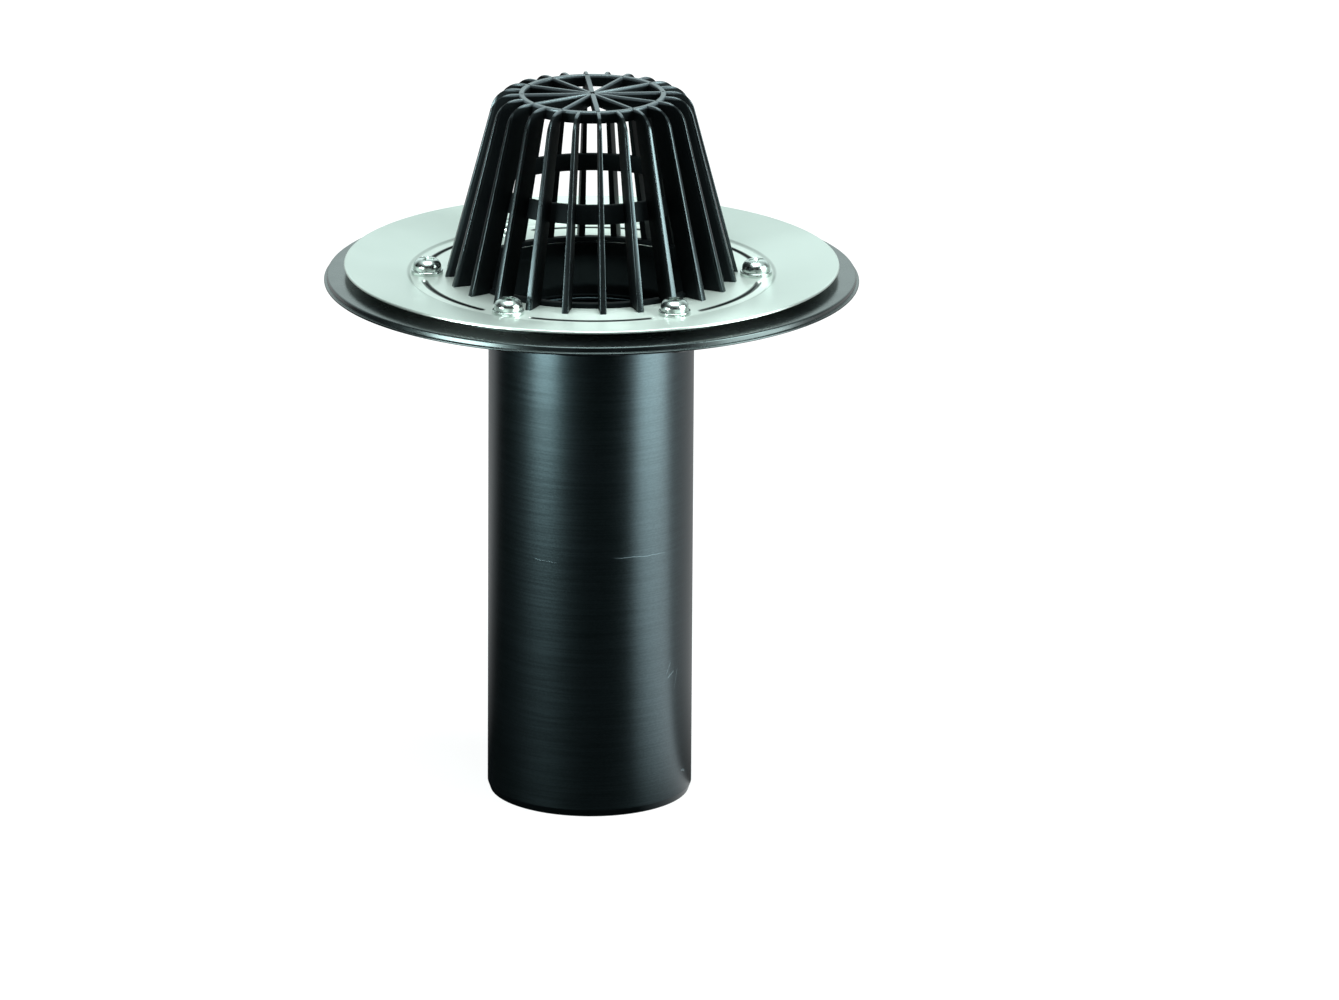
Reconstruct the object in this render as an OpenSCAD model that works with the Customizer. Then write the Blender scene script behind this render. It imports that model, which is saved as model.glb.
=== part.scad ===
/* [Outlet pipe] */
// Outside diameter of the outlet pipe
pipe_od = 110; // [90:1:125]
// Wall thickness of the outlet pipe and of the sump welded to it
pipe_wall = 4.2; // [3:0.1:6]
// Length of the pipe below its weld to the drain body
pipe_length = 260; // [120:1:600]
// Height of the chamfer round the pipe's free end
pipe_chamfer_h = 4; // [1:0.5:10]
// Depth of that chamfer into the pipe wall
pipe_chamfer_d = 1.4; // [0.5:0.1:2]
// Radius of the outer rolls of the butt weld
bead_r = 1.2; // [0.8:0.1:2]
// Radius of the inner rolls of the butt weld
inner_bead_r = 0.9; // [0.5:0.1:1.5]

/* [Drain body] */
// Thickness of the flange disc
flange_t = 4; // [3:0.5:5]
// Width of the flange that shows outside the clamping ring
flange_margin = 10.6; // [6:0.2:40]
// Height by which the flange's rim stands above the seat of the clamping ring
rim_rise = 2; // [0.5:0.1:2.5]
// Rounding of the flange's upper edge
flange_edge_r = 1; // [0.5:0.1:1.5]
// Width of the half-round lip at the foot of the flange's edge
flange_lip_w = 1.5; // [0.8:0.1:3]
// Height of that lip
flange_lip_h = 1.2; // [0.6:0.1:1.4]
// Depth of the straight mouth of the sump
mouth_depth = 7.5; // [7:0.5:14]
// Height of the sump's cone
cone_h = 11.5; // [8:0.5:30]
// Length of the spigot below the cone
spigot_length = 7; // [6:0.5:60]
// Rounding of the bends in the sump wall
sump_bend_r = 3; // [1:0.5:5]
// Number of stiffening ribs under the flange
rib_count = 12; // [6:6:24]
// Thickness of a stiffening rib
rib_t = 3; // [2:0.5:5]
// Width of the flange that is left free of ribs at its rim
rib_margin = 16; // [8:1:30]
// Height of a rib at its outer end, below the flange
rib_end_h = 2; // [1:0.5:4]
// Wall of the boss round a threaded insert
boss_wall = 3; // [2:0.5:5]
// Thickness of the boss below its blind hole
boss_floor = 2.5; // [1.5:0.5:5]
// Depth of the blind hole below the insert
tip_room = 3; // [2:0.5:8]
// Number of sealing grooves in the flange under the brim
seal_count = 3; // [1:1:4]
// Width of a sealing groove
seal_w = 1.6; // [0.8:0.2:3]
// Depth of a sealing groove
seal_depth = 0.8; // [0.4:0.1:1.5]
// Spacing of the sealing grooves
seal_pitch = 5; // [4:0.5:8]

/* [Clamping ring] */
// Thickness of the ring's sheet
sheet_t = 1.5; // [1:0.1:3]
// How far the ring's inner edge stands out from the fins' inner edges
seat_inset = 0.2; // [0:0.1:2]
// Flat width outside the washers, before the ring's step
valley_w = 0.6; // [0.4:0.2:6]
// Height of the step up to the brim
step_h = 1.1; // [0.5:0.1:3]
// Run of that step
step_run = 1.7; // [1:0.1:4]
// Width of the brim
brim_w = 33.6; // [20:0.2:60]
// Height by which the brim rises towards its outer edge
brim_rise = 5.5; // [2:0.1:10]
// Bending radius of the sheet, at its underside
sheet_bend_r = 1.2; // [0.5:0.1:2]
// Rounding of the brim's upper outer edge
sheet_edge_r = 0.8; // [0.2:0.1:0.9]
// Width of the arc grooves between the screws
groove_w = 1.9; // [1:0.1:3]
// Depth of the arc grooves
groove_depth = 0.9; // [0.3:0.1:0.9]
// Offset of the arc grooves outwards from the screw circle
groove_offset = 2.5; // [0:0.1:4]
// Angle left plain on each side of a screw
groove_stop = 8.5; // [7:0.5:15]

/* [Leaf guard] */
// Diameter over the feet of the fins
guard_d = 156.6; // [150:0.2:200]
// Height of the leaf guard above the ring
guard_h = 100; // [70:1:160]
// Diameter that the slope of the fins would reach at the top
guard_top_d = 104; // [96:1:110]
// Rounding of the fins' shoulder
shoulder_r = 13; // [5:0.5:15]
// Number of fins
fin_count = 24; // [12:2:32]
// Thickness of a fin at its foot
fin_foot_t = 3.5; // [2:0.1:4]
// Thickness of a fin at the top of the guard
fin_top_t = 1.7; // [1.2:0.1:2.6]
// Depth of a fin, measured level
fin_depth = 12.5; // [8:0.5:14]
// Turn of the whole fin pattern about the drain's axis
fin_turn = 4.6; // [0:0.1:15]
// Outside diameter of the top ring
top_ring_d = 78.2; // [60:0.2:82]
// Thickness of the top ring and of the two lower hoops
hoop_t = 2.8; // [2:0.1:4]
// Depth of the top ring and its spokes
web_depth = 6.5; // [4:0.5:12]
// Thickness of an ordinary spoke
spoke_t = 1.6; // [1.2:0.1:3]
// Thickness of the main spoke
main_spoke_t = 2.6; // [1.6:0.1:4]
// Height of the middle hoop
hoop_h = 10; // [6:0.5:16]
// Height of the middle hoop's lower edge above the feet
hoop_z = 42.5; // [20:0.5:50]
// Height of the base hoop
base_h = 2.5; // [2:0.5:6]
// Width of the base hoop that rests on the clamping ring
base_lap = 1; // [0.5:0.1:3]
// Number of locating lugs below the base hoop
lug_count = 4; // [3:1:6]
// Width of a locating lug
lug_w = 14; // [8:1:24]
// Thickness of a locating lug
lug_t = 2.5; // [2:0.1:3.5]
// Reach of a lug below the feet
lug_reach = 7; // [4:0.5:8]
// Clearance between the lugs and the ring
lug_clear = 0.5; // [0.3:0.1:1.5]

/* [Screws] */
// Number of clamping screws
screw_count = 6; // [4:2:8]
// Thread diameter of the screws
thread_d = 8; // [6:1:10]
// Length of the screws below the head
screw_length = 16; // [12:1:18]
// Diameter of the screw heads
head_d = 15.2; // [12:0.2:16]
// Height of the screw heads
head_h = 6.2; // [4:0.2:8]
// Width of the arms of the cross recess
recess_w = 1.9; // [1:0.1:2.5]
// Depth of the cross recess
recess_depth = 3.2; // [1.5:0.1:3.5]
// Outside diameter of the washers
washer_d = 17; // [16:0.2:20]
// Thickness of the washers
washer_t = 2.2; // [1:0.1:3]
// Gap between the leaf guard's feet and the washers
washer_gap = 1; // [1:0.1:6]
// Clearance of the screws in the ring and the washers
hole_clear = 0.4; // [0.2:0.1:0.8]
// Clearance between a screw and the thread of its insert
thread_clear = 0.1; // [0.05:0.05:0.3]
// Wall of a threaded insert
insert_wall = 2; // [1.5:0.1:3]
// Length of a threaded insert
insert_length = 12; // [8:0.5:14]
// Depth of the two grooves round an insert
insert_groove = 0.6; // [0.3:0.1:1]
// Clearance of an insert in its boss
insert_clear = 0.05; // [0.02:0.01:0.2]

/* [Hidden] */
$fn = 96;

pipe_r = pipe_od / 2;
bore_r = pipe_r - pipe_wall;
// Level of the flange's top, where the clamping ring lies
flange_z = pipe_length + spigot_length + cone_h + mouth_depth;

guard_r = guard_d / 2;
// Run of the fins' outer edge inwards for each millimetre of height
fin_slope = (guard_r - guard_top_d / 2) / guard_h;
seat_r = guard_r - fin_depth + seat_inset;
guard_z = flange_z + sheet_t;

circle_r = guard_r + washer_gap + washer_d / 2;
step_r = circle_r + washer_d / 2 + valley_w;
brim_r = step_r + step_run;
ring_r = brim_r + brim_w;
flange_r = ring_r + flange_margin;
// Where the flange starts to rise to its rim, outside the sealing grooves
rim_r = brim_r + (seal_count + 0.5) * seal_pitch;
// Run of that rise for each millimetre of height
rim_run = 2;

insert_r = thread_d / 2 + thread_clear + insert_wall;
boss_r = insert_r + boss_wall;
boss_h = insert_length + tip_room + boss_floor;
// Overlap that joins the hoops, the top ring and the spokes to the fins
bury = 0.6;
// Chamfers at a screw's tip and round the underside of its head
tip_chamfer = 1;
head_chamfer = 0.3;
// Share of a head's radius that its flat crown takes
crown = 0.35;
// Share of a head's radius that the arms of the recess take
recess_span = 0.62;
// Each screw has stopped at a turn of its own
head_turn = 17;

plastic = [0.09, 0.09, 0.10];
steel = [0.82, 0.84, 0.84];
brass = [0.78, 0.62, 0.30];

function unit(v) = v / norm(v);
function left_of(v) = [-v.y, v.x];
function reversed(p) = [for (i = [len(p) - 1:-1:0]) p[i]];
function arc(centre, r, from, to, steps = 8) =
    [for (i = [0:steps]) let (a = from + (to - from) * i / steps) centre + r * [cos(a), sin(a)]];

// A path moved sideways, to the left of its direction, with mitred corners
function beside(path, d) = [for (i = [0:len(path) - 1])
    let (a = unit(path[max(i, 1)] - path[max(i, 1) - 1]),
         b = unit(path[min(i, len(path) - 2) + 1] - path[min(i, len(path) - 2)]),
         n = unit(left_of(a) + left_of(b)))
    path[i] + n * d / (n * left_of(a))];

// The arc that rounds the corner q between its neighbours p and s
function corner(p, q, s, r, steps) =
    let (a = unit(p - q), b = unit(s - q),
         half = acos(a * b) / 2,
         middle = q + unit(a + b) * r / sin(half),
         start = q + a * r / tan(half),
         end = q + b * r / tan(half),
         from = atan2(start.y - middle.y, start.x - middle.x),
         turn = atan2(end.y - middle.y, end.x - middle.x) - from)
    arc(middle, r, from, from + turn - 360 * round(turn / 360), steps);

// A path with each of its inner corners rounded
function rounded(path, r, steps = 4) = concat([path[0]],
    [for (i = [1:len(path) - 2]) each corner(path[i - 1], path[i], path[i + 1], r, steps)],
    [path[len(path) - 1]]);

// Radius of the fins' outer edge at a height above the feet
function fin_r(z) = guard_r - fin_slope * z;

// Inner wall of the sump, from the flange's top down to the weld
sump_path = rounded([[seat_r, 0], [seat_r, -mouth_depth], [bore_r, -mouth_depth - cone_h],
    [bore_r, -mouth_depth - cone_h - spigot_length]], sump_bend_r);
// Underside of the clamping ring, from its inner edge out to the brim's edge
ring_path = rounded([[seat_r, 0], [step_r, 0], [brim_r, step_h],
    [ring_r, step_h + brim_rise]], sheet_bend_r);

module place_screw(i) {
    rotate((i - 1) * 360 / screw_count) translate([circle_r, 0, flange_z]) children();
}

module at_screws() {
    for (i = [1:screw_count]) place_screw(i) children();
}

// Half section of the body's disc, sump and spigot
module body_section() {
    weld_z = flange_z - pipe_length;
    outer = beside(sump_path, pipe_wall);
    outer_wall = [for (p = outer) if (p.y < -flange_t && p.y > -weld_z + 2 * bead_r) p];
    seals = [for (i = [0:seal_count - 1]) brim_r + (i + 1) * seal_pitch];
    polygon(concat(
        [for (p = sump_path) if (p.y > -weld_z + 2 * inner_bead_r) p],
        arc([bore_r, -weld_z + inner_bead_r], inner_bead_r, 90, 270),
        arc([pipe_r, -weld_z + bead_r], bead_r, -90, 90),
        reversed(outer_wall),
        [[seat_r + pipe_wall, -flange_t], [rim_r, -flange_t],
            [rim_r + rim_run * rim_rise, rim_rise - flange_t]],
        arc([flange_r - flange_lip_h / 2, rim_rise - flange_t + flange_lip_h / 2], flange_lip_h / 2,
            -90, 90, 6),
        arc([flange_r - flange_lip_w - flange_edge_r, rim_rise - flange_edge_r], flange_edge_r, 0, 90, 6),
        [[rim_r + rim_run * rim_rise, rim_rise], [rim_r, 0]],
        [for (r = reversed(seals)) each [[r + seal_w / 2, 0], [r + seal_w / 4, -seal_depth],
            [r - seal_w / 4, -seal_depth], [r - seal_w / 2, 0]]]));
}

// Outline of a rib, from the middle of the sump wall out under the flange
module rib_section() {
    rib_r = flange_r - rib_margin;
    top = (rim_rise - flange_t) / 2;
    wall = [for (p = beside(sump_path, pipe_wall / 2))
        if (p.y < top && p.y > -mouth_depth - cone_h - spigot_length / 4) p];
    polygon(concat([[rib_r, top], [seat_r + pipe_wall / 2, top]], wall,
        [[rib_r, -flange_t - rib_end_h]]));
}

module drain_body() {
    color(plastic) difference() {
        union() {
            translate([0, 0, flange_z]) rotate_extrude() body_section();
            for (i = [0:rib_count - 1])
                rotate(i * 360 / rib_count) translate([0, rib_t / 2, flange_z])
                    rotate([90, 0, 0]) linear_extrude(rib_t) rib_section();
            at_screws() translate([0, 0, -boss_h]) cylinder(r = boss_r, h = boss_h - flange_t / 2);
        }
        at_screws() {
            translate([0, 0, -insert_length]) cylinder(r = insert_r + insert_clear, h = insert_length + 1);
            translate([0, 0, -insert_length - tip_room])
                cylinder(r = thread_d / 2 + thread_clear, h = tip_room + 1);
        }
    }
}

module outlet_pipe() {
    color(plastic) rotate_extrude() polygon(concat(
        [[bore_r, pipe_chamfer_d / 2], [bore_r + pipe_chamfer_d / 2, 0],
            [pipe_r - pipe_chamfer_d, 0], [pipe_r, pipe_chamfer_h]],
        arc([pipe_r, pipe_length - bead_r], bead_r, -90, 90),
        arc([bore_r, pipe_length - inner_bead_r], inner_bead_r, 90, 270)));
}

// One arc groove, pressed into the ring between two screws
module arc_groove() {
    r = circle_r + groove_offset;
    span = 360 / screw_count - 2 * groove_stop;
    rotate(groove_stop) rotate_extrude(angle = span) polygon([
        [r - groove_w / 2, sheet_t + 1], [r - groove_w / 2, sheet_t],
        [r - groove_w / 4, sheet_t - groove_depth], [r + groove_w / 4, sheet_t - groove_depth],
        [r + groove_w / 2, sheet_t], [r + groove_w / 2, sheet_t + 1]]);
}

module clamping_ring() {
    top = beside(ring_path, sheet_t);
    end = len(top) - 1;
    color(steel) difference() {
        translate([0, 0, flange_z]) rotate_extrude() polygon(concat(ring_path,
            corner(ring_path[end], top[end], top[end - 1], sheet_edge_r, 4),
            [for (i = [end - 1:-1:0]) top[i]]));
        at_screws() translate([0, 0, -1]) cylinder(r = thread_d / 2 + hole_clear, h = sheet_t + 2);
        for (i = [0:screw_count - 1])
            rotate(i * 360 / screw_count) translate([0, 0, flange_z]) arc_groove();
    }
}

// Outline of one fin, with its rounded shoulder and the level tail to the top ring
module fin_section() {
    shoulder = corner([guard_r, 0], [guard_top_d / 2, guard_h], [0, guard_h], shoulder_r, 8);
    tail_r = top_ring_d / 2 - bury;
    web_z = guard_h - web_depth;
    polygon(concat([[guard_r, 0]], shoulder, [[tail_r, guard_h], [tail_r, web_z],
        [fin_r(web_z) - fin_depth, web_z], [guard_r - fin_depth, 0]]));
}

// One fin, thinner towards the top
module fin() {
    intersection() {
        translate([0, fin_foot_t, 0]) rotate([90, 0, 0]) linear_extrude(2 * fin_foot_t) fin_section();
        rotate([90, 0, 90]) linear_extrude(guard_r + 1) polygon([[-fin_foot_t / 2, 0],
            [fin_foot_t / 2, 0], [fin_top_t / 2, guard_h], [-fin_top_t / 2, guard_h]]);
    }
}

// A hoop on the inner edges of the fins, from one height to another
module hoop(from, to) {
    function outer_r(z) = fin_r(z) - fin_depth + bury;
    rotate_extrude() polygon([[outer_r(from), from], [outer_r(to), to],
        [outer_r(to) - hoop_t, to], [outer_r(from) - hoop_t, from]]);
}

module tube(r, wall, h) {
    difference() {
        cylinder(r = r, h = h);
        translate([0, 0, -1]) cylinder(r = r - wall, h = h + 2);
    }
}

// The base hoop, with the lugs that drop inside the clamping ring
module base_hoop() {
    lug_r = seat_r - lug_clear;
    tube(seat_r + base_lap, base_lap + lug_clear + lug_t, base_h);
    for (i = [0:lug_count - 1]) intersection() {
        translate([0, 0, -lug_reach]) rotate_extrude() polygon([[lug_r - lug_t, 0],
            [lug_r - lug_t / 3, 0], [lug_r, lug_t], [lug_r, lug_reach + base_h / 2],
            [lug_r - lug_t, lug_reach + base_h / 2]]);
        rotate((i + 0.5) * 360 / lug_count) translate([0, -lug_w / 2, -lug_reach - 1])
            cube([guard_r, lug_w, lug_reach + base_h + 2]);
    }
}

module leaf_guard() {
    spoke_count = fin_count / 2;
    color(plastic) translate([0, 0, guard_z]) rotate(fin_turn) {
        for (i = [0:fin_count - 1]) rotate(i * 360 / fin_count) fin();
        translate([0, 0, guard_h - web_depth]) {
            tube(top_ring_d / 2, hoop_t, web_depth);
            for (i = [0:spoke_count - 1]) let (t = i % (spoke_count / 2) == 0 ? main_spoke_t : spoke_t)
                rotate(-90 + i * 360 / spoke_count) translate([0, -t / 2, 0])
                    cube([top_ring_d / 2 - bury, t, web_depth]);
        }
        hoop(hoop_z, hoop_z + hoop_h);
        base_hoop();
    }
}

// A pan head with a domed top and a tapering cross recess
module screw_head() {
    rim_h = head_h / 4;
    dome = head_h - rim_h;
    head_r = head_d / 2;
    difference() {
        rotate_extrude() polygon(concat(
            [[0, 0], [head_r - head_chamfer, 0], [head_r, head_chamfer]],
            [for (a = [0:15:90]) [head_r * (crown + (1 - crown) * cos(a)), rim_h + dome * sin(a)]],
            [[0, head_h]]));
        intersection() {
            translate([0, 0, head_h - recess_depth])
                cylinder(r1 = recess_w, r2 = head_r * recess_span, h = recess_depth + 1);
            for (a = [0, 90]) rotate(a)
                translate([-head_d / 2, -recess_w / 2, 0]) cube([head_d, recess_w, head_h + 1]);
        }
    }
}

module screw(i) {
    shank_r = thread_d / 2;
    color(steel) place_screw(i) translate([0, 0, sheet_t + washer_t]) {
        rotate(head_turn * i) screw_head();
        rotate_extrude() polygon([[0, head_chamfer], [shank_r, head_chamfer],
            [shank_r, -screw_length + tip_chamfer], [shank_r - tip_chamfer, -screw_length],
            [0, -screw_length]]);
    }
}

module washer(i) {
    color(steel) place_screw(i) translate([0, 0, sheet_t])
        tube(washer_d / 2, washer_d / 2 - thread_d / 2 - hole_clear, washer_t);
}

module insert(i) {
    band = insert_length / 5;
    bore = thread_d / 2 + thread_clear;
    color(brass) place_screw(i) translate([0, 0, -insert_length]) rotate_extrude() polygon([
        [bore, 0], [insert_r, 0], [insert_r, band], [insert_r - insert_groove, band],
        [insert_r - insert_groove, 2 * band], [insert_r, 2 * band], [insert_r, 3 * band],
        [insert_r - insert_groove, 3 * band], [insert_r - insert_groove, 4 * band],
        [insert_r, 4 * band], [insert_r, insert_length], [bore, insert_length]]);
}

drain_body();
outlet_pipe();
clamping_ring();
leaf_guard();
for (i = [1:screw_count]) {
    screw(i);
    washer(i);
    insert(i);
}
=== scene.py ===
import math

import bmesh
import bpy
from mathutils import Matrix, Vector


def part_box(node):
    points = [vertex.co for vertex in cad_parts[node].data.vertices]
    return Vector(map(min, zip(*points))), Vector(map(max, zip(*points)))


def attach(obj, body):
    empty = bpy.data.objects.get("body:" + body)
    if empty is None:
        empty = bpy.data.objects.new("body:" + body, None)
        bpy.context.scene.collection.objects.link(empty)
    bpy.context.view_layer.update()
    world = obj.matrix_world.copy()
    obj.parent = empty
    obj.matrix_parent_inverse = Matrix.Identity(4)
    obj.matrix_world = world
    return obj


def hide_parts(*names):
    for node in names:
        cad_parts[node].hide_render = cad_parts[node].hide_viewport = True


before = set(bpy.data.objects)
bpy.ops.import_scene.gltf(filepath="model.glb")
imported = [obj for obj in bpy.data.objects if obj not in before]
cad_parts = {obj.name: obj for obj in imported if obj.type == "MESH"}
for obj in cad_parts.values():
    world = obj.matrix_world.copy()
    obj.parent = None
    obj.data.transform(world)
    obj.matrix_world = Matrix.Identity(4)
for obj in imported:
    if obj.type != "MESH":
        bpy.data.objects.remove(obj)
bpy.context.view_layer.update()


# Outlet pipe. A length of extruded black polyethylene drain pipe, chamfered at its free end
# and butt-welded to the spigot of the sump, with the rolled beads left on. It shows the fine
# rings of its cooling and a few handling marks.

# Sizes are in mm, and MM turns them into metres.
MM = 0.001
pipe_low, pipe_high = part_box("outlet_pipe")
weld_z = pipe_high.z / MM
pipe_r, bore_r = 55, 50.8
chamfer_d, chamfer_h, inner_chamfer = 1.4, 4, 0.7
bead_r, inner_bead_r = 1.2, 0.9


def hex_colour(code):
    """An sRGB hex colour as the linear one that Blender's sockets take."""
    parts = [int(code[i:i + 2], 16) / 255 for i in (1, 3, 5)]
    return tuple(p / 12.92 if p <= 0.04045 else ((p + 0.055) / 1.055) ** 2.4 for p in parts) + (1,)


def add(tree, kind, settings=(), **inputs):
    """Adds a node. An input is named by its socket, as _0 or as Base_Color, and takes a value
    or a link."""
    node = tree.nodes.new("ShaderNode" + kind)
    for name, value in dict(settings).items():
        setattr(node, name, value)
    for name, value in inputs.items():
        socket = node.inputs[int(name[1:])] if name[0] == "_" else node.inputs[name.replace("_", " ")]
        if isinstance(value, bpy.types.NodeSocket):
            tree.links.new(value, socket)
        else:
            socket.default_value = value
    return node


def new_material(name):
    """A node material with only its Principled BSDF and output."""
    material = bpy.data.materials.new(name)
    material.use_nodes = True
    return material, material.node_tree, material.node_tree.nodes["Principled BSDF"]


def calc(tree, operation, *values):
    """The result of one Math node."""
    inputs = {f"_{i}": value for i, value in enumerate(values)}
    return add(tree, "Math", {"operation": operation}, **inputs).outputs[0]


def between(tree, value, low, high, to_low, to_high):
    """The value, mapped from one range to another and held at its ends."""
    return add(tree, "MapRange", {"clamp": True}, Value=value, From_Min=low, From_Max=high,
               To_Min=to_low, To_Max=to_high).outputs[0]


def blend(tree, share, first, second):
    """A mix of two colours, given as hex codes or links, with this share of the second."""
    first, second = (hex_colour(c) if isinstance(c, str) else c for c in (first, second))
    return add(tree, "Mix", {"data_type": "RGBA"}, _0=share, _6=first, _7=second).outputs[2]


def position(tree):
    """The object coordinates x, y and z, in metres."""
    return add(tree, "SeparateXYZ", Vector=add(tree, "TexCoord").outputs["Object"]).outputs


def scaled(tree, x, y, z):
    """Object coordinates, multiplied so that a pattern gets its size along each axis."""
    place = add(tree, "TexCoord").outputs["Object"]
    return add(tree, "VectorMath", {"operation": "MULTIPLY"}, _0=place, _1=(x, y, z)).outputs[0]


def noise(tree, x, y, z, detail):
    """Noise of a set fineness along each axis."""
    return add(tree, "TexNoise", Vector=scaled(tree, x, y, z), Scale=1.0, Detail=detail).outputs[0]


def rounded(corners, segments=4):
    """The closed outline through corners (across, up, radius) in mm, each rounded by its radius,
    in metres."""
    outline = []
    for i, (x, y, radius) in enumerate(corners):
        corner = Vector((x, y))
        if not radius:
            outline.append(corner * MM)
            continue
        back = (Vector(corners[i - 1][:2]) - corner).normalized()
        on = (Vector(corners[(i + 1) % len(corners)][:2]) - corner).normalized()
        half = back.angle(on) / 2
        middle = corner + (back + on).normalized() * radius / math.sin(half)
        start = (corner + back * radius / math.tan(half) - middle).normalized()
        end = (corner + on * radius / math.tan(half) - middle).normalized()
        outline += [(middle + radius * start.slerp(end, k / segments)) * MM for k in range(segments + 1)]
    return outline


def roll(x, y, radius, start, end, steps=8):
    """Sharp corners along an arc, such as a weld bead, from one angle to another."""
    angles = [math.radians(start + (end - start) * k / steps) for k in range(steps + 1)]
    return [(x + radius * math.cos(a), y + radius * math.sin(a), 0) for a in angles]


def turn(bm, outline, steps, angle=360):
    """Turns the outline about the vertical axis. An edge that lies on the axis is left out."""
    verts = [bm.verts.new((p.x, 0, p.y)) for p in outline]
    edges = [bm.edges.new((verts[i - 1], v)) for i, v in enumerate(verts)
             if verts[i - 1].co.x + v.co.x > 1e-7]
    return bmesh.ops.spin(bm, geom=verts + edges, cent=(0, 0, 0), axis=(0, 0, 1),
                          angle=math.radians(angle), steps=steps, use_merge=angle == 360)


def finish_piece(name, bm, material, nodes, crease=32):
    """Closes the seams, turns the faces outwards, and lets the piece stand for its CAD nodes."""
    bmesh.ops.remove_doubles(bm, verts=bm.verts, dist=1e-6)
    bmesh.ops.recalc_face_normals(bm, faces=bm.faces)
    mesh = bpy.data.meshes.new(name)
    bm.to_mesh(mesh)
    bm.free()
    mesh.polygons.foreach_set("use_smooth", [True] * len(mesh.polygons))
    mesh.set_sharp_from_angle(angle=math.radians(crease))
    mesh.materials.append(material)
    piece = bpy.data.objects.new(name, mesh)
    bpy.context.collection.objects.link(piece)
    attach(piece, "root")
    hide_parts(*nodes)
    return piece


def mark(tree, azimuth, height, length, width, tilt):
    """A mask for one scratch or scuff on the pipe: its azimuth from the front and tilt in degrees,
    and its height, length round the pipe and width in mm."""
    x, y, z = position(tree)
    angle = calc(tree, "ARCTAN2", x, calc(tree, "MULTIPLY", y, -1.0))
    along = calc(tree, "MULTIPLY_ADD", angle, pipe_r * MM, -math.radians(azimuth) * pipe_r * MM)
    wave = add(tree, "TexNoise", {"noise_dimensions": "2D"}, Vector=scaled(tree, 160, 160, 160), Scale=1.0,
               Detail=2.0).outputs[0]
    centre = calc(tree, "MULTIPLY_ADD", along, math.tan(math.radians(tilt)), height * MM)
    bent = calc(tree, "MULTIPLY_ADD", wave, width * 1.5 * MM, centre)
    across = calc(tree, "ABSOLUTE", calc(tree, "SUBTRACT", z, bent))
    line = between(tree, across, width * MM / 2, width * MM / 5, 0, 1)
    ends = between(tree, calc(tree, "ABSOLUTE", along), length * MM / 2, length * MM / 3, 0, 1)
    return calc(tree, "MULTIPLY", line, ends)


# Extruded black polyethylene: near black with a cool sheen. The sizing rings that cooled it left
# fine rings round it, which spread a reflection up and down. Scratches and scuffs show grey.
pipe_plastic, tree, bsdf = new_material("extruded_black_polyethylene")
rings = noise(tree, 30, 30, 1300, 2.0)
cloud = noise(tree, 40, 40, 22, 3.0)
grain = noise(tree, 700, 700, 1500, 2.0)
marks = [(30, 144, 34, 0.6, -3), (-26, 142, 14, 0.25, -3), (52, 73, 6, 1.2, 30),
         (66, 15, 5, 1.4, -25), (50, 77, 4, 1, 60), (57, 70, 3, 1, 75)]
wear = 0.0
for azimuth, height, length, width, tilt in marks:
    wear = calc(tree, "MAXIMUM", wear, mark(tree, azimuth, height, length, width, tilt))
base = blend(tree, between(tree, cloud, 0.35, 0.65, 0, 1), "#010202", "#030405")
tree.links.new(blend(tree, wear, base, "#4A5256"), bsdf.inputs["Base Color"])
tree.links.new(between(tree, rings, 0.35, 0.65, 0.3, 0.33), bsdf.inputs["Roughness"])
round_axis = add(tree, "Tangent", {"direction_type": "RADIAL", "axis": "Z"}).outputs[0]
tree.links.new(round_axis, bsdf.inputs["Tangent"])
bsdf.inputs["Anisotropic"].default_value = 0.2
bsdf.inputs["Anisotropic Rotation"].default_value = 0.25
ringed = add(tree, "Bump", Strength=0.05, Distance=0.00002, Height=rings).outputs[0]
scuffed = add(tree, "Bump", Strength=0.6, Distance=0.0001, Height=wear, Normal=ringed).outputs[0]
tree.links.new(scuffed, bsdf.inputs["Normal"])
bsdf.inputs["IOR"].default_value = 1.6
speckled = calc(tree, "ADD", rings, grain)
tree.links.new(between(tree, speckled, 0.8, 1.2, 0.8, 1), bsdf.inputs["Specular IOR Level"])
bsdf.inputs["Specular Tint"].default_value = hex_colour("#C4E4EE")

free_end = [(bore_r, inner_chamfer, 0.2), (bore_r + inner_chamfer, 0, 0.2),
            (pipe_r - chamfer_d, 0, 0.4), (pipe_r, chamfer_h, 1)]
outer_bead = roll(pipe_r, weld_z - bead_r, bead_r, -90, 90)
inner_bead = roll(bore_r, weld_z - inner_bead_r, inner_bead_r, 90, 270)
bm = bmesh.new()
turn(bm, rounded(free_end + outer_bead + inner_bead), 192)
finish_piece("outlet_pipe_visual", bm, pipe_plastic, ["outlet_pipe"])


# Drain body. One injection moulding in black polypropylene: a flange disc with a raised rim and
# a rounded lip, the sump below it with its spigot, twelve ribs, and a boss for each screw.

body_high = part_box("drain_body")[1]
seat_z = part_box("clamping_ring")[0].z / MM
rim_z = body_high.z / MM - seat_z
flange_r = body_high.x / MM
flange_t, wall, lip_w, lip_h = 4, 4.2, 1.5, 1.2
seat_r, mouth, cone = 66, 7.5, 11.5
brim_inner_r, rim_r, rim_run = 98.6, 116.1, 4
seal_radii, seal_w, seal_depth = (113.6, 108.6, 103.6), 1.6, 0.8
rib_end_r, rib_t, rib_end_h = 126.8, 3, 2
screw_circle, boss_r, boss_depth = 87.8, 9.1, 17.5


def off_axis(tree):
    """The distance from the drain's axis, in metres."""
    return add(tree, "VectorMath", {"operation": "LENGTH"}, _0=scaled(tree, 1, 1, 0)).outputs["Value"]


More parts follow.
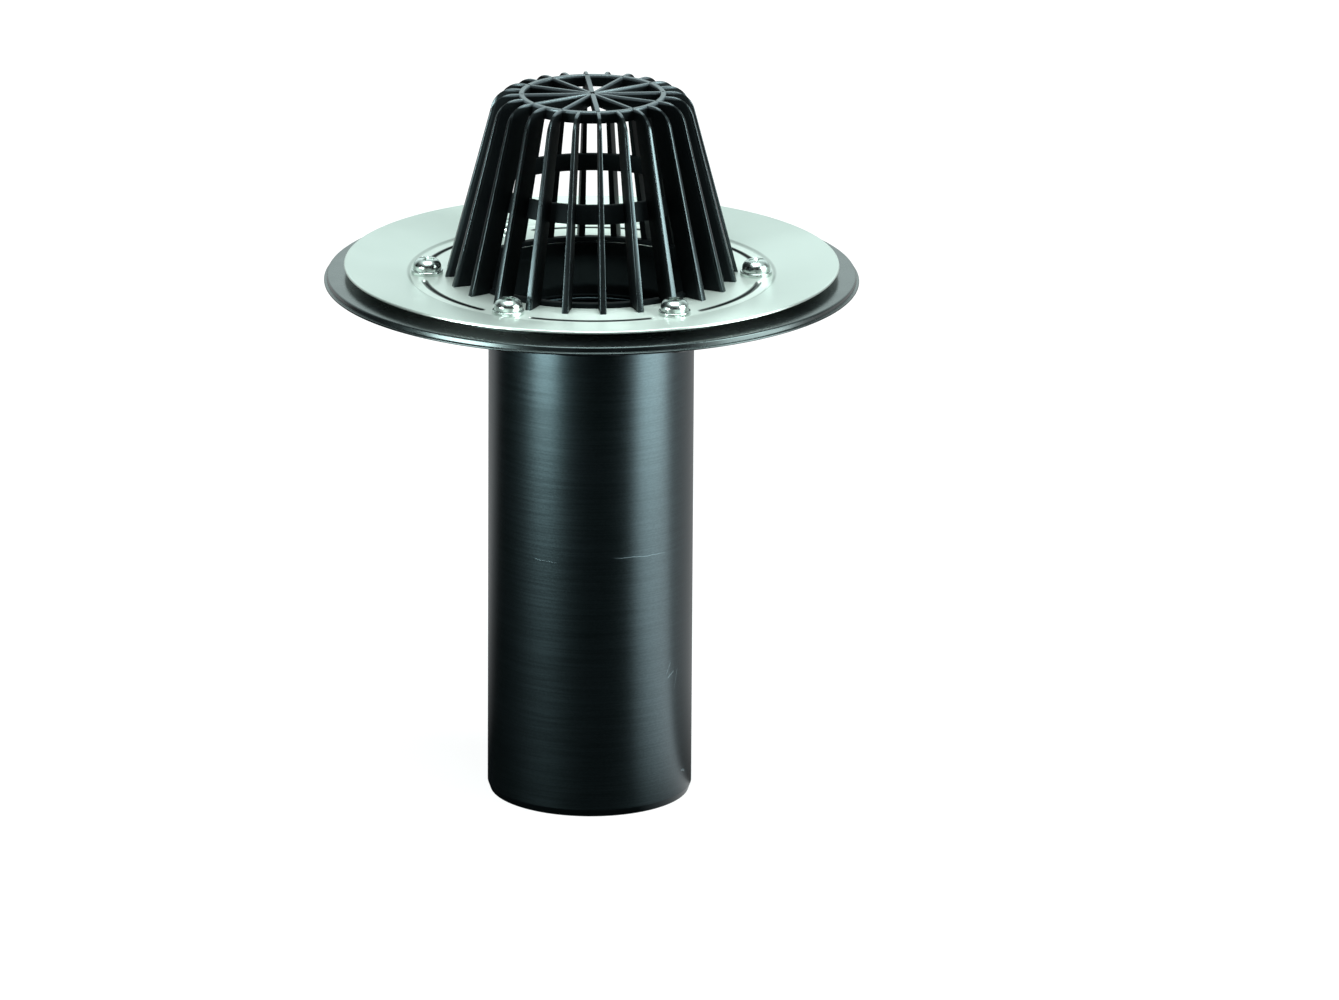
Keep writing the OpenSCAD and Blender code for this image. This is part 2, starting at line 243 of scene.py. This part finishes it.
def swing(bm, verts, degrees):
    """Turns points about the drain's axis."""
    matrix = Matrix.Rotation(math.radians(degrees), 3, "Z")
    bmesh.ops.rotate(bm, verts=verts, cent=(0, 0, 0), matrix=matrix)


def join(bm, part):
    """Adds a part's faces to a piece."""
    mesh = bpy.data.meshes.new("part")
    part.to_mesh(mesh)
    part.free()
    bm.from_mesh(mesh)
    bpy.data.meshes.remove(mesh)


# Moulded black polypropylene. The sump is dull black from a fine spark-eroded mould. The flange
# came from a polished one, so it has a soft, slightly cool shine.
body_plastic, tree, bsdf = new_material("moulded_black_polypropylene")
cloud = noise(tree, 60, 60, 60, 3.0)
pits = noise(tree, 1400, 1400, 1400, 2.0)
base = blend(tree, between(tree, cloud, 0.35, 0.65, 0, 1), "#050607", "#090A0C")
tree.links.new(base, bsdf.inputs["Base Color"])
flange = between(tree, off_axis(tree), (seat_r + 2) * MM, (seat_r + 6) * MM, 0, 1)
polish = calc(tree, "MULTIPLY", flange, -0.38)
rough = calc(tree, "ADD", between(tree, cloud, 0.3, 0.7, 0.61, 0.69), polish)
tree.links.new(rough, bsdf.inputs["Roughness"])
tree.links.new(between(tree, flange, 0, 1, 0.1, 0.6), bsdf.inputs["Specular IOR Level"])
tree.links.new(between(tree, flange, 0, 1, 0, 0.6), bsdf.inputs["Coat Weight"])
bsdf.inputs["Coat Roughness"].default_value = 0.25
pitted = add(tree, "Bump", Strength=0.2, Distance=0.00003, Height=pits).outputs[0]
tree.links.new(pitted, bsdf.inputs["Normal"])
bsdf.inputs["Specular Tint"].default_value = hex_colour("#CDEFEF")

mitre = wall * math.tan(math.atan2(seat_r - bore_r, cone) / 2)
spigot_z = weld_z - seat_z
seals = []
for r in seal_radii:
    seals += [(r + seal_w / 2, 0, 0), (r + seal_w / 4, -seal_depth, 0),
              (r - seal_w / 4, -seal_depth, 0), (r - seal_w / 2, 0, 0)]
body_outline = ([(seat_r, 0, 0.4), (seat_r, -mouth, 3), (bore_r, -mouth - cone, 3)]
                + roll(bore_r, spigot_z + inner_bead_r, inner_bead_r, 90, 270)
                + roll(pipe_r, spigot_z + bead_r, bead_r, -90, 90)
                + [(pipe_r, -mouth - cone - mitre, 0.8), (seat_r + wall, -mouth - mitre, 4),
                   (seat_r + wall, -flange_t, 0.6), (rim_r, -flange_t, 1),
                   (rim_r + rim_run, rim_z - flange_t, 1),
                   (flange_r, rim_z - flange_t, 0.55), (flange_r, rim_z - flange_t + lip_h, 0.55),
                   (flange_r - lip_w, rim_z - flange_t + lip_h, 0.2), (flange_r - lip_w, rim_z, 1),
                   (rim_r + rim_run, rim_z, 1), (rim_r, 0, 1)] + seals)
bm = bmesh.new()
turn(bm, rounded(body_outline), 256)
rib_outline = [(rib_end_r, -1, 0), (seat_r + wall / 2, -1, 0), (seat_r + wall / 2, -mouth, 0),
               (bore_r + wall, -mouth - cone + 1, 0), (rib_end_r, -flange_t - rib_end_h, 0.8)]
for i in range(12):
    verts = [bm.verts.new((p.x, rib_t * MM / 2, p.y)) for p in rounded(rib_outline)]
    face = bm.faces.new(verts)
    solid = bmesh.ops.extrude_face_region(bm, geom=[face], use_keep_orig=True)["geom"]
    far_verts = [v for v in solid if isinstance(v, bmesh.types.BMVert)]
    bmesh.ops.translate(bm, verts=far_verts, vec=(0, -rib_t * MM, 0))
    swing(bm, verts + far_verts, 30 * i)
for i in range(6):
    boss = bmesh.new()
    turn(boss, rounded([(0, -boss_depth, 0), (boss_r, -boss_depth, 1), (boss_r, -flange_t / 2, 0),
                        (0, -flange_t / 2, 0)]), 48)
    bmesh.ops.translate(boss, verts=boss.verts, vec=(screw_circle * MM, 0, 0))
    swing(boss, boss.verts, 60 * i)
    join(bm, boss)
bmesh.ops.translate(bm, verts=bm.verts, vec=(0, 0, seat_z * MM))
finish_piece("drain_body_visual", bm, body_plastic, ["drain_body"])


# Clamping ring. Stainless steel sheet, pressed to a flat seat with arc grooves between the
# screws, a small step and a brim that rises outwards, with its edge rolled smooth. It presses
# the roofing membrane onto the flange.

sheet_t, step_w, step_h, brim_rise = 1.5, 1.7, 1.1, 5.5
ring_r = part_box("clamping_ring")[1].x / MM
step_r = brim_inner_r - step_w
groove_r, groove_w, groove_depth, groove_stop = 90.3, 1.9, 0.9, 8.5

# Pressed stainless steel, bright with a pale cool tint. It was brushed round its axis, so that reflections
# fan out across it. Its upward faces, the seat most, are made partly diffuse, a painted lightening of the
# tops under the lamps that leaves the undersides dark. The grooves, and less so the step, are painted dark
# as painted shade.
ring_steel, tree, bsdf = new_material("pressed_stainless_steel")
smears = noise(tree, 25, 25, 25, 4.0)
radius = off_axis(tree)
lines = add(tree, "TexNoise", {"noise_dimensions": "1D"}, W=radius, Scale=2500.0, Detail=2.0).outputs[0]
x, y = position(tree)[:2]
off_screw = calc(tree, "PINGPONG", calc(tree, "ARCTAN2", y, x), math.pi / 6)
off_groove = calc(tree, "ABSOLUTE", calc(tree, "SUBTRACT", radius, groove_r * MM))
off_step = calc(tree, "ABSOLUTE", calc(tree, "SUBTRACT", radius, (step_r + step_w / 2) * MM))
in_groove = calc(tree, "MULTIPLY", between(tree, off_screw, 0.15, 0.17, 0, 1),
                 between(tree, off_groove, 2.1 * MM, 1.3 * MM, 0, 1))
# Painted shade: the grooves, and less so the step, are painted dark in the base colour.
oil = calc(tree, "MAXIMUM", in_groove, between(tree, off_step, 1.2 * MM, 0.4 * MM, 0, 0.3))
tree.links.new(blend(tree, oil, "#D2DAD4", "#1E2121"), bsdf.inputs["Base Color"])
upwards = add(tree, "SeparateXYZ", Vector=add(tree, "TexCoord").outputs["Normal"]).outputs[2]
# Painted light: upward faces, the seat most, lose metal for a diffuse share that the lamps brighten; the
# undersides stay full metal and dark.
pickled = calc(tree, "MULTIPLY", between(tree, radius, 95 * MM, 99 * MM, 0.5, 0.15),
               between(tree, upwards, 0, 0.5, 0, 1))
tree.links.new(between(tree, pickled, 0, 1, 1, 0), bsdf.inputs["Metallic"])
tree.links.new(between(tree, smears, 0.3, 0.7, 0.36, 0.44), bsdf.inputs["Roughness"])
round_axis = add(tree, "Tangent", {"direction_type": "RADIAL", "axis": "Z"}).outputs[0]
tree.links.new(round_axis, bsdf.inputs["Tangent"])
bsdf.inputs["Anisotropic"].default_value = 0.8
bsdf.inputs["Anisotropic Rotation"].default_value = 0.25
brushed = add(tree, "Bump", Strength=0.12, Distance=0.00001, Height=lines).outputs[0]
tree.links.new(brushed, bsdf.inputs["Normal"])

slope = math.atan2(brim_rise, ring_r - brim_inner_r)
climb = math.atan2(step_h, step_w)
at_step = sheet_t * math.tan(climb / 2)
at_brim = sheet_t / math.cos((climb - slope) / 2)
lean = (climb + slope) / 2
ring_outline = [
    (seat_r, 0, 0.3), (step_r, 0, 1.2), (brim_inner_r, step_h, 1.2), (ring_r, step_h + brim_rise, 0.3),
    (ring_r - sheet_t * math.sin(slope), step_h + brim_rise + sheet_t * math.cos(slope), 0.8),
    (brim_inner_r - at_brim * math.sin(lean), step_h + at_brim * math.cos(lean), 1.2),
    (step_r - at_step, sheet_t, 1.2),
    (groove_r + groove_w / 2, sheet_t, 0), (groove_r + groove_w / 4, sheet_t, 0),
    (groove_r - groove_w / 4, sheet_t, 0), (groove_r - groove_w / 2, sheet_t, 0), (seat_r, sheet_t, 0.3)]
bm = bmesh.new()
turn(bm, rounded(ring_outline), 720)
for v in bm.verts:
    r = v.co.xy.length / MM
    away = abs((math.degrees(math.atan2(v.co.y, v.co.x)) + 30) % 60 - 30)
    if v.co.z > 0.9 * sheet_t * MM and abs(r - groove_r) < groove_w / 4 + 0.05 and away > groove_stop:
        v.co.z -= groove_depth * MM * min(1, (away - groove_stop) / 0.5)
bmesh.ops.translate(bm, verts=bm.verts, vec=(0, 0, seat_z * MM))
finish_piece("clamping_ring_visual", bm, ring_steel, ["clamping_ring"])


# Leaf guard. One injection moulding in black plastic: 24 upright fins, thinner towards their
# shoulders, tied together by a base hoop, a middle hoop and a ring of crossed spokes at the top.
# Four lugs below the base hoop drop inside the clamping ring.

guard_z = seat_z + sheet_t
guard_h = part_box("leaf_guard")[1].z / MM - guard_z
guard_r, shoulder_top_r, shoulder_round, fin_depth, fin_turn = 78.3, 52, 13, 12.5, 4.6
fin_lean = (guard_r - shoulder_top_r) / guard_h
fin_foot_t, fin_top_t = 3.5, 1.7
top_r, hoop_t, web = 39.1, 2.8, 6.5
hoop_z, hoop_h = 42.5, 10
base_r, base_inner_r, base_h = 67, 63, 2.5
main_spoke_t, spoke_t = 2.6, 1.6
lug_r, lug_drop, lug_turn, lug_angle = 65.5, 7, 39, 12
# How far fins, hoops and spokes run into each other.
bury = 0.6


def fin_r(z):
    """Radius of the fins' outer edge at a height above their feet, in mm."""
    return guard_r - (guard_r - shoulder_top_r) * z / guard_h


def box(bm, low, high, edge):
    """A block between two corners in mm, with its edges rounded."""
    block = bmesh.ops.create_cube(bm, size=1)["verts"]
    low, high = Vector(low) * MM, Vector(high) * MM
    bmesh.ops.scale(bm, verts=block, vec=high - low)
    bmesh.ops.translate(bm, verts=block, vec=(low + high) / 2)
    edges = {e for v in block for e in v.link_edges}
    bmesh.ops.bevel(bm, geom=list(edges), offset=edge * MM, offset_type="OFFSET", segments=2, profile=0.5,
                    affect="EDGES", material=-1, clamp_overlap=True)


# Moulded black ABS. The fins' flanks are matt and near black, with a faint flow texture. Their narrow
# outer edges were polished in the mould and shine, and are painted a little lighter as a painted
# highlight; the top is painted dark grey as a painted highlight.
guard_plastic, tree, bsdf = new_material("moulded_black_abs")
flow = noise(tree, 90, 90, 25, 4.0)
specks = noise(tree, 1100, 1100, 1100, 2.0)
height = position(tree)[2]
outwards = calc(tree, "MULTIPLY_ADD", height, fin_lean, off_axis(tree))
edge_at = (guard_r + fin_lean * guard_z) * MM
top_at = (guard_z + guard_h) * MM
top = between(tree, height, top_at - 1.6 * MM, top_at - 0.6 * MM, 0, 1)
edge = calc(tree, "MAXIMUM", between(tree, outwards, edge_at - 2.2 * MM, edge_at - 1 * MM, 0, 1), top)
base = blend(tree, between(tree, flow, 0.35, 0.65, 0, 1), "#030405", "#060708")
# Painted highlight: the edges are painted a little lighter and the top dark grey.
rubbed = blend(tree, top, blend(tree, edge, base, "#0B0C0D"), "#50565A")
tree.links.new(rubbed, bsdf.inputs["Base Color"])
rough = calc(tree, "ADD", between(tree, flow, 0.3, 0.7, 0.36, 0.44), between(tree, edge, 0, 1, 0.2, -0.12))
tree.links.new(rough, bsdf.inputs["Roughness"])
tree.links.new(between(tree, edge, 0, 1, 0.15, 1), bsdf.inputs["Specular IOR Level"])
speckled = add(tree, "Bump", Strength=0.25, Distance=0.00003, Height=specks).outputs[0]
tree.links.new(speckled, bsdf.inputs["Normal"])
bsdf.inputs["Specular Tint"].default_value = hex_colour("#D2E8EE")

bm = bmesh.new()
fin_outline = rounded([(guard_r, 0, 0), (shoulder_top_r, guard_h, shoulder_round),
                       (top_r - bury, guard_h, 0), (top_r - bury, guard_h - web, 0),
                       (fin_r(guard_h - web) - fin_depth, guard_h - web, 0),
                       (guard_r - fin_depth, 0, 0)], 10)
flank = bm.faces.new([bm.verts.new((p.x, 0, p.y)) for p in fin_outline])
other = bmesh.ops.extrude_face_region(bm, geom=[flank], use_keep_orig=True)["geom"]
other_verts = [v for v in other if isinstance(v, bmesh.types.BMVert)]
for side, verts in ((-1, list(flank.verts)), (1, other_verts)):
    for v in verts:
        v.co.y = side * (fin_foot_t + (fin_top_t - fin_foot_t) * v.co.z / MM / guard_h) / 2 * MM
bmesh.ops.recalc_face_normals(bm, faces=bm.faces)
fin_edges = [e for e in bm.edges if any(len(f.verts) > 4 for f in e.link_faces)]
bmesh.ops.bevel(bm, geom=fin_edges, offset=0.4 * MM, offset_type="OFFSET", segments=3, profile=0.5,
                affect="EDGES", material=-1, clamp_overlap=True)
bmesh.ops.spin(bm, geom=bm.verts[:] + bm.edges[:] + bm.faces[:], cent=(0, 0, 0), axis=(0, 0, 1),
               angle=math.radians(345), steps=23, use_duplicate=True)
low_r, high_r = fin_r(hoop_z) - fin_depth + bury, fin_r(hoop_z + hoop_h) - fin_depth + bury
turn(bm, rounded([(low_r, hoop_z, 0.5), (high_r, hoop_z + hoop_h, 0.5),
                  (high_r - hoop_t, hoop_z + hoop_h, 0.5), (low_r - hoop_t, hoop_z, 0.5)]), 192)
turn(bm, rounded([(top_r, guard_h - web, 0.4), (top_r, guard_h, 0.6),
                  (top_r - hoop_t, guard_h, 0.6), (top_r - hoop_t, guard_h - web, 0.4)]), 192)
turn(bm, rounded([(base_r, 0, 0), (base_r, base_h, 0.4), (base_inner_r, base_h, 0.4),
                  (base_inner_r, 0, 0)]), 192)
for i in range(6):
    spoke = bmesh.new()
    half_t = (main_spoke_t if i == 0 else spoke_t) / 2
    box(spoke, (bury - top_r, -half_t, guard_h - web), (top_r - bury, half_t, guard_h), 0.3)
    swing(spoke, spoke.verts, 90 + 30 * i)
    join(bm, spoke)
for i in range(4):
    lug = bmesh.new()
    turn(lug, rounded([(base_inner_r, -lug_drop, 0.5), (lug_r - 0.9, -lug_drop, 0.5),
                       (lug_r, 2.5 - lug_drop, 0.5), (lug_r, base_h / 2, 0),
                       (base_inner_r, base_h / 2, 0)]), 8, lug_angle)
    bmesh.ops.holes_fill(lug, edges=[e for e in lug.edges if e.is_boundary], sides=0)
    swing(lug, lug.verts, lug_turn + 90 * i)
    join(bm, lug)
swing(bm, bm.verts, fin_turn)
bmesh.ops.translate(bm, verts=bm.verts, vec=(0, 0, guard_z * MM))
finish_piece("leaf_guard_visual", bm, guard_plastic, ["leaf_guard"])


# Screws. Six M8 stainless steel pan head screws with a domed head and a punched cross recess.
# Each has stopped at a turn of its own.

head_r, head_h, rim_h, crown, shank_r, shank = 7.6, 6.2, 1.55, 0.35, 4, 16
recess_depth, bottom_l, bottom_w, top_l, top_w = 3.2, 1.7, 0.75, 5.3, 1.05
washer_r, washer_bore, washer_t = 8.5, 4.4, 2.2
head_z = seat_z + sheet_t + washer_t


def cross_at(length, width, z):
    """The corners of the punch's cross at a height, in metres."""
    quarter = [(length, -width), (length, width), (width, width)]
    return [Matrix.Rotation(math.radians(90 * k), 3, "Z") @ Vector((a, b, z)) * MM
            for k in range(4) for a, b in quarter]


# Cold-headed stainless steel, tumbled bright: a soft mirror, a little darker than the ring.
screw_steel, tree, bsdf = new_material("tumbled_stainless_steel")
dents = noise(tree, 500, 500, 500, 3.0)
bsdf.inputs["Base Color"].default_value = hex_colour("#CBD3CF")
bsdf.inputs["Metallic"].default_value = 1.0
tree.links.new(between(tree, dents, 0.3, 0.7, 0.16, 0.28), bsdf.inputs["Roughness"])
dented = add(tree, "Bump", Strength=0.15, Distance=0.00005, Height=dents).outputs[0]
tree.links.new(dented, bsdf.inputs["Normal"])

bm = bmesh.new()
dome = [(head_r * (crown + (1 - crown) * math.cos(math.radians(a))),
         rim_h + (head_h - rim_h) * math.sin(math.radians(a)), 0) for a in range(0, 91, 6)]
turn(bm, rounded([(0, -shank, 0), (shank_r - 1, -shank, 0), (shank_r, 1 - shank, 0), (shank_r, 0, 0),
                  (head_r, 0, 0.3)] + dome + [(0, head_h, 0)]), 64)
bmesh.ops.remove_doubles(bm, verts=bm.verts, dist=1e-6)
bmesh.ops.recalc_face_normals(bm, faces=bm.faces)
blank = bpy.data.meshes.new("screw_blank")
bm.to_mesh(blank)
bm.free()
blank_object = bpy.data.objects.new("screw_blank", blank)
bpy.context.collection.objects.link(blank_object)

punch = bmesh.new()
crosses = [[punch.verts.new(p) for p in cross_at(bottom_l, bottom_w, head_h - recess_depth)],
           [punch.verts.new(p) for p in cross_at(top_l, top_w, head_h + 1)]]
loops = [[punch.edges.new((cross[k - 1], cross[k])) for k in range(12)] for cross in crosses]
bmesh.ops.bridge_loops(punch, edges=loops[0] + loops[1])
for cross in crosses:
    punch.faces.new(cross)
bmesh.ops.recalc_face_normals(punch, faces=punch.faces)
punch_mesh = bpy.data.meshes.new("screw_punch")
punch.to_mesh(punch_mesh)
punch.free()
punch_object = bpy.data.objects.new("screw_punch", punch_mesh)
bpy.context.collection.objects.link(punch_object)
cut = blank_object.modifiers.new("recess", "BOOLEAN")
cut.operation, cut.solver, cut.object = "DIFFERENCE", "EXACT", punch_object
punched = blank_object.evaluated_get(bpy.context.evaluated_depsgraph_get())
screw_mesh = bpy.data.meshes.new_from_object(punched)
for used in (blank_object, punch_object):
    bpy.data.objects.remove(used)
for i in range(6):
    bm = bmesh.new()
    bm.from_mesh(screw_mesh)
    swing(bm, bm.verts, 17 * (i + 1))
    bmesh.ops.translate(bm, verts=bm.verts, vec=(screw_circle * MM, 0, head_z * MM))
    swing(bm, bm.verts, 60 * i)
    finish_piece(f"screw_{i + 1}_visual", bm, screw_steel, [f"screw_{i + 1}"], 28)


# Washers. Plain stainless steel washers under the screw heads, stamped, with softly rounded
# edges.

for i in range(6):
    bm = bmesh.new()
    turn(bm, rounded([(washer_bore, 0, 0.15), (washer_r, 0, 0.15), (washer_r, washer_t, 0.5),
                      (washer_bore, washer_t, 0.15)]), 72)
    bmesh.ops.translate(bm, verts=bm.verts, vec=(screw_circle * MM, 0, (seat_z + sheet_t) * MM))
    swing(bm, bm.verts, 60 * i)
    finish_piece(f"washer_{i + 1}_visual", bm, screw_steel, [f"washer_{i + 1}"])


# Threaded inserts. Turned brass bushes moulded into the bosses under the flange. Their solids
# stay as they are and only get their finish.

# Turned brass: warm yellow, satin, slightly dulled.
brass, tree, bsdf = new_material("turned_brass")
dull = noise(tree, 300, 300, 300, 2.0)
bsdf.inputs["Base Color"].default_value = hex_colour("#C9A45C")
bsdf.inputs["Metallic"].default_value = 1.0
tree.links.new(between(tree, dull, 0.3, 0.7, 0.25, 0.4), bsdf.inputs["Roughness"])
for i in range(6):
    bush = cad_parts[f"insert_{i + 1}"]
    bush.data.materials.clear()
    bush.data.materials.append(brass)


# Floor. A plain white sheet under the pipe's end, which shows white to the camera and keeps the drain's
# soft shadow. In reflections it is dark in front and glows behind and beside the drain, a painted glow
# that stands in for lamp light on the floor.

floor_white, tree, bsdf = new_material("white_studio_floor")
tree.nodes.remove(bsdf)
path = add(tree, "LightPath")
white = (1, 1, 1, 1)
paper = add(tree, "BsdfDiffuse", Color=hex_colour("#7A7C7C")).outputs[0]
lift = between(tree, off_axis(tree), 0.3, 1.5, 0.85, 1.0)
shown = add(tree, "AddShader", _0=paper,
            _1=add(tree, "Emission", Color=white, Strength=lift).outputs[0]).outputs[0]
x, y = position(tree)[:2]
# Painted light: for reflections the floor glows behind and beside the drain, as if lit there.
behind = between(tree, calc(tree, "MULTIPLY_ADD", x, 0.6, y), 0.0, 0.25, 0.003, 0.5)
from_front = calc(tree, "ADD", x, y)
from_back = calc(tree, "MULTIPLY_ADD", y, -11.0, x)
beside = between(tree, calc(tree, "MINIMUM", from_front, from_back), -0.02, 0.16, 0, 2.0)
lit = calc(tree, "MAXIMUM", behind, beside)
mirrored = add(tree, "Emission", Color=white, Strength=lit).outputs[0]
mixed = add(tree, "MixShader", _0=path.outputs["Is Glossy Ray"], _1=paper, _2=mirrored).outputs[0]
mixed = add(tree, "MixShader", _0=path.outputs["Is Camera Ray"], _1=mixed, _2=shown).outputs[0]
tree.links.new(mixed, tree.nodes["Material Output"].inputs["Surface"])
bm = bmesh.new()
bmesh.ops.create_grid(bm, x_segments=1, y_segments=1, size=12)
bmesh.ops.translate(bm, verts=bm.verts, vec=(0, 0, pipe_low.z - 0.0003))
floor_mesh = bpy.data.meshes.new("floor")
bm.to_mesh(floor_mesh)
bm.free()
floor_mesh.materials.append(floor_white)
floor = bpy.data.objects.new("floor", floor_mesh)
bpy.context.collection.objects.link(floor)


# Light. A small low softbox at each side, one higher on the right and a large one above, all
# slightly cool, in a white surround that gloss and metal see brightest behind and overhead.

def softbox(name, azimuth, elevation, distance, width, height, power):
    """An area light that faces the drain, its azimuth measured from the front towards +X."""
    light = bpy.data.lights.new(name, "AREA")
    light.shape, light.size, light.size_y, light.energy = "RECTANGLE", width, height, power
    light.color = hex_colour("#EFFFFD")[:3]
    lamp = bpy.data.objects.new(name, light)
    a, e = math.radians(azimuth), math.radians(elevation)
    aim = Vector((0, 0, 0.25))
    towards = Vector((math.sin(a) * math.cos(e), -math.cos(a) * math.cos(e), math.sin(e)))
    lamp.location = aim + distance * towards
    lamp.rotation_euler = (aim - lamp.location).to_track_quat("-Z", "Y").to_euler()
    bpy.context.collection.objects.link(lamp)


softbox("left_softbox", -50, 2, 0.62, 0.28, 0.24, 5.2)
softbox("right_softbox", 69, 6, 0.7, 0.42, 0.61, 4.6)
softbox("high_softbox", 62, 25, 0.8, 0.4, 0.3, 4.5)
softbox("top_softbox", 10, 80, 2.2, 1.6, 1.6, 55)

world = bpy.data.worlds.new("studio")
bpy.context.scene.world = world
world.use_nodes = True
tree = world.node_tree
background = tree.nodes["Background"]
path = add(tree, "LightPath").outputs
direction = add(tree, "SeparateXYZ", Vector=add(tree, "TexCoord").outputs["Generated"]).outputs
behind = calc(tree, "MULTIPLY", between(tree, direction[1], 0.3, 0.85, 0.01, 1.0),
              between(tree, direction[2], 0.0, 0.35, 0.45, 1.3))
above = between(tree, direction[2], 0.6, 0.9, 0.0, 0.9)
shines = calc(tree, "MULTIPLY", path["Is Glossy Ray"], calc(tree, "MAXIMUM", behind, above))
seen = calc(tree, "MAXIMUM", path["Is Camera Ray"], path["Is Transmission Ray"])
fill = calc(tree, "MULTIPLY", path["Is Diffuse Ray"], 0.3)
strength = calc(tree, "MAXIMUM", calc(tree, "MAXIMUM", seen, shines), fill)
tree.links.new(strength, background.inputs["Strength"])
tree.links.new(blend(tree, path["Is Glossy Ray"], white, "#ECFFFD"), background.inputs["Color"])


# Camera. Far back and a little above the ring, turned very slightly about its own axis.

camera_data = bpy.data.cameras.new("camera")
camera = bpy.data.objects.new("camera", camera_data)
bpy.context.collection.objects.link(camera)
bpy.context.scene.camera = camera
camera.location = (0, -6, 2.016)
sight = Vector((0, 0, 0.196)) - camera.location
camera.rotation_euler = (sight.to_track_quat("-Z", "Y").to_matrix()
                         @ Matrix.Rotation(math.radians(0.25), 3, "Z")).to_euler()
camera_data.sensor_width, camera_data.lens, camera_data.clip_end = 36, 314.6, 40
camera_data.shift_x, camera_data.shift_y = 0.0587, -0.0465
bpy.context.scene.view_settings.view_transform = "Standard"
